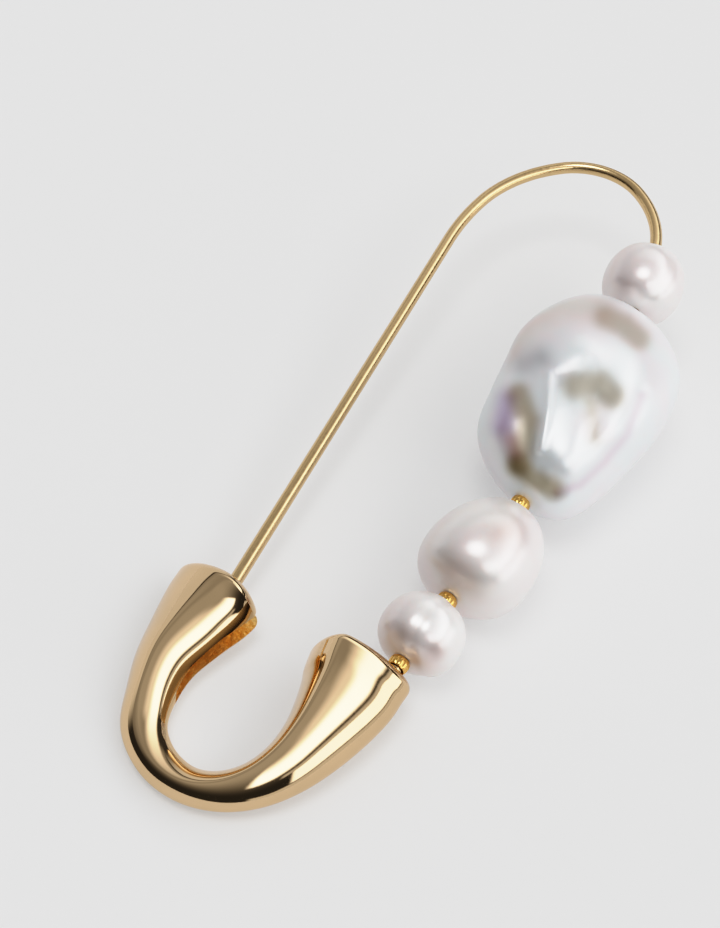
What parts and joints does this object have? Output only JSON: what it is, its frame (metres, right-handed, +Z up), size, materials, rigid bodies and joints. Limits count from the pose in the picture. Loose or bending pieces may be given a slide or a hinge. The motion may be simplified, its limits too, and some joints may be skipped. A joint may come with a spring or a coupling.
{
  "type": "brooch",
  "caption": "Safety-pin brooch with a U-shaped metal clasp and freshwater pearls threaded on its bent wire.",
  "frame": {"origin": "centre of the bounding box in X and Y, on the table that the brooch lies on", "axes": "+Y along the brooch from the clasp to the bend of the wire, +X from the straight stem to the pearls, +Z up from the table. The brooch lies as it rests by itself, on the back edge of the clasp and the big pearl."},
  "size_m": [0.0244, 0.0684, 0.0116],
  "materials": {
    "clasp_gold": "polished gold plate, matt inside the hood",
    "wire_gold": "polished gold plate",
    "spacer_gold": "bright ribbed gold",
    "pearl": "nacre, satin lustre"
  },
  "bodies": {
    "brooch": {"clasp": "clasp_gold", "wire": "wire_gold", "small_pearl": "pearl", "middle_pearl": "pearl", "baroque_pearl": "pearl", "top_pearl": "pearl", "lower_spacer": "spacer_gold", "middle_spacer": "spacer_gold", "upper_spacer": "spacer_gold"},
    "sprung_pin": {"pin": "wire_gold"}
  },
  "joints": [
    {"name": "pin_flex", "type": "hinge", "parent": "brooch", "child": "sprung_pin", "pos_m": [-0.00339, 0.03366, 0.00755], "axis": [-0.0602, -0.0867, 0.9944], "range_deg": [0, 5], "stiffness_Nm_per_rad": 0.05, "springref_deg": -2.86}
  ]
}
